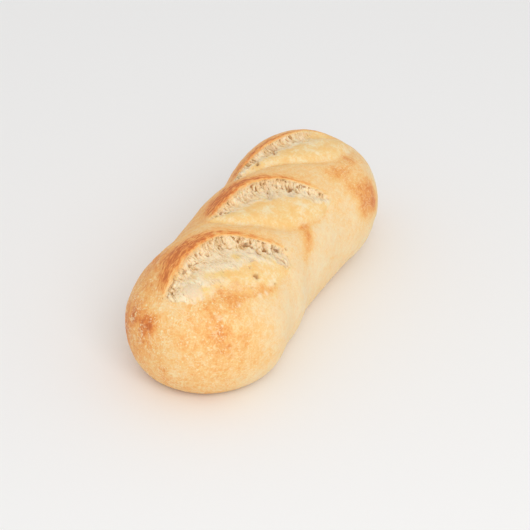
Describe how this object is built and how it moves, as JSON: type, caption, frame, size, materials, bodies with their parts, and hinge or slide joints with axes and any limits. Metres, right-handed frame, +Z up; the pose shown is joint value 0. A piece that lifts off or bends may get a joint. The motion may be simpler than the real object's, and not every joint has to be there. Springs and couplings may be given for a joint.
{
  "type": "demi baguette",
  "caption": "Short plump wheat loaf with blunt round ends, slanting slashes with raised ears over torn pale crumb, and a flat base.",
  "frame": {"origin": "centre of the bounding box's bottom, on the surface that the loaf lies on", "axes": "+X along the loaf, from its fuller end to its narrower one, +Y towards the side that the ears lean away to, +Z up"},
  "size_m": [0.2026, 0.08, 0.0651],
  "materials": {
    "crust": "pale golden baked crust, matt with a faint sheen, with cream crumb showing in the slashes"
  },
  "bodies": {
    "root": {"loaf": "crust"}
  },
  "joints": []
}
